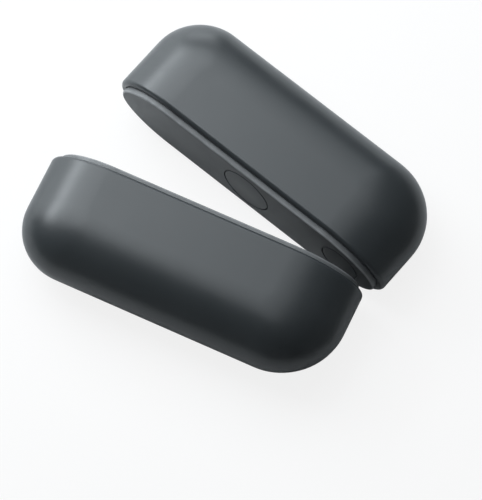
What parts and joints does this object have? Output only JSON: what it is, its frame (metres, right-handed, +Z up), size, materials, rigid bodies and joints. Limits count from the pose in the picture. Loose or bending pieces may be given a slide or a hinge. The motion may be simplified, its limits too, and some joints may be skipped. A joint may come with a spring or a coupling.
{
  "type": "rechargeable hand warmer",
  "caption": "Pebble-shaped rechargeable hand warmer in two alike halves that magnets hold face to face, each with a raised panel, a round power button and a round socket cover.",
  "frame": {"origin": "centre of the left half's flat base, on the surface it lies on", "axes": "+X along the left half's length, towards its charging socket; +Y from the left half's rounded outer side out through its panel, towards the right half; +Z up"},
  "size_m": [0.1137, 0.0964, 0.027],
  "materials": {
    "shell_coat": "soft-touch satin graphite",
    "panel_coat": "satin graphite",
    "seal_foam": "matt",
    "button_coat": "satin graphite",
    "pad_silicone": "matt",
    "switch_black": "matt",
    "cover_silicone": "matt",
    "socket_steel": "plain",
    "tongue_black": "matt",
    "board_green": "satin",
    "chip_black": "matt",
    "chassis_plastic": "matt",
    "magnet_plating": "bright nickel",
    "cell_metal": "satin",
    "cell_sleeve": "gloss",
    "tab_nickel": "plain",
    "film_amber": "gloss",
    "bead_brown": "satin",
    "end_foam": "matt foam",
    "screw_zinc": "zinc"
  },
  "bodies": {
    "left_half": {"left_outer_shell": "shell_coat", "left_face_panel": "panel_coat", "left_face_gasket": "seal_foam", "left_button_pad": "pad_silicone", "left_tact_switch": "switch_black", "left_port_cover": "cover_silicone", "left_usb_socket": "socket_steel", "left_usb_tongue": "tongue_black", "left_circuit_board": "board_green", "left_board_parts": "chip_black", "left_mid_frame": "chassis_plastic", "left_magnets": "magnet_plating", "left_battery_cell": "cell_metal", "left_battery_sleeve": "cell_sleeve", "left_battery_tabs": "tab_nickel", "left_heater_film": "film_amber", "left_thermistor": "bead_brown", "left_end_pads": "end_foam", "left_frame_screws": "screw_zinc"},
    "left_button": {"left_power_button": "button_coat"},
    "right_half": {"right_outer_shell": "shell_coat", "right_face_panel": "panel_coat", "right_face_gasket": "seal_foam", "right_button_pad": "pad_silicone", "right_tact_switch": "switch_black", "right_port_cover": "cover_silicone", "right_usb_socket": "socket_steel", "right_usb_tongue": "tongue_black", "right_circuit_board": "board_green", "right_board_parts": "chip_black", "right_mid_frame": "chassis_plastic", "right_magnets": "magnet_plating", "right_battery_cell": "cell_metal", "right_battery_sleeve": "cell_sleeve", "right_battery_tabs": "tab_nickel", "right_heater_film": "film_amber", "right_thermistor": "bead_brown", "right_end_pads": "end_foam", "right_frame_screws": "screw_zinc"},
    "right_button": {"right_power_button": "button_coat"}
  },
  "joints": [
    {"name": "halves_swing", "type": "hinge", "parent": "left_half", "child": "right_half", "pos_m": [0.0547, -0.0015, 0], "axis": [0, 0, 1], "range_deg": [-15, 15]},
    {"name": "left_button_press", "type": "slide", "parent": "left_half", "child": "left_button", "axis": [0, -1, 0], "range_m": [0, 0.0004], "stiffness_N_per_m": 400, "springref_m": -0.001},
    {"name": "right_button_press", "type": "slide", "parent": "right_half", "child": "right_button", "axis": [0.2588, 0.9659, 0], "range_m": [0, 0.0004], "stiffness_N_per_m": 400, "springref_m": -0.001}
  ]
}
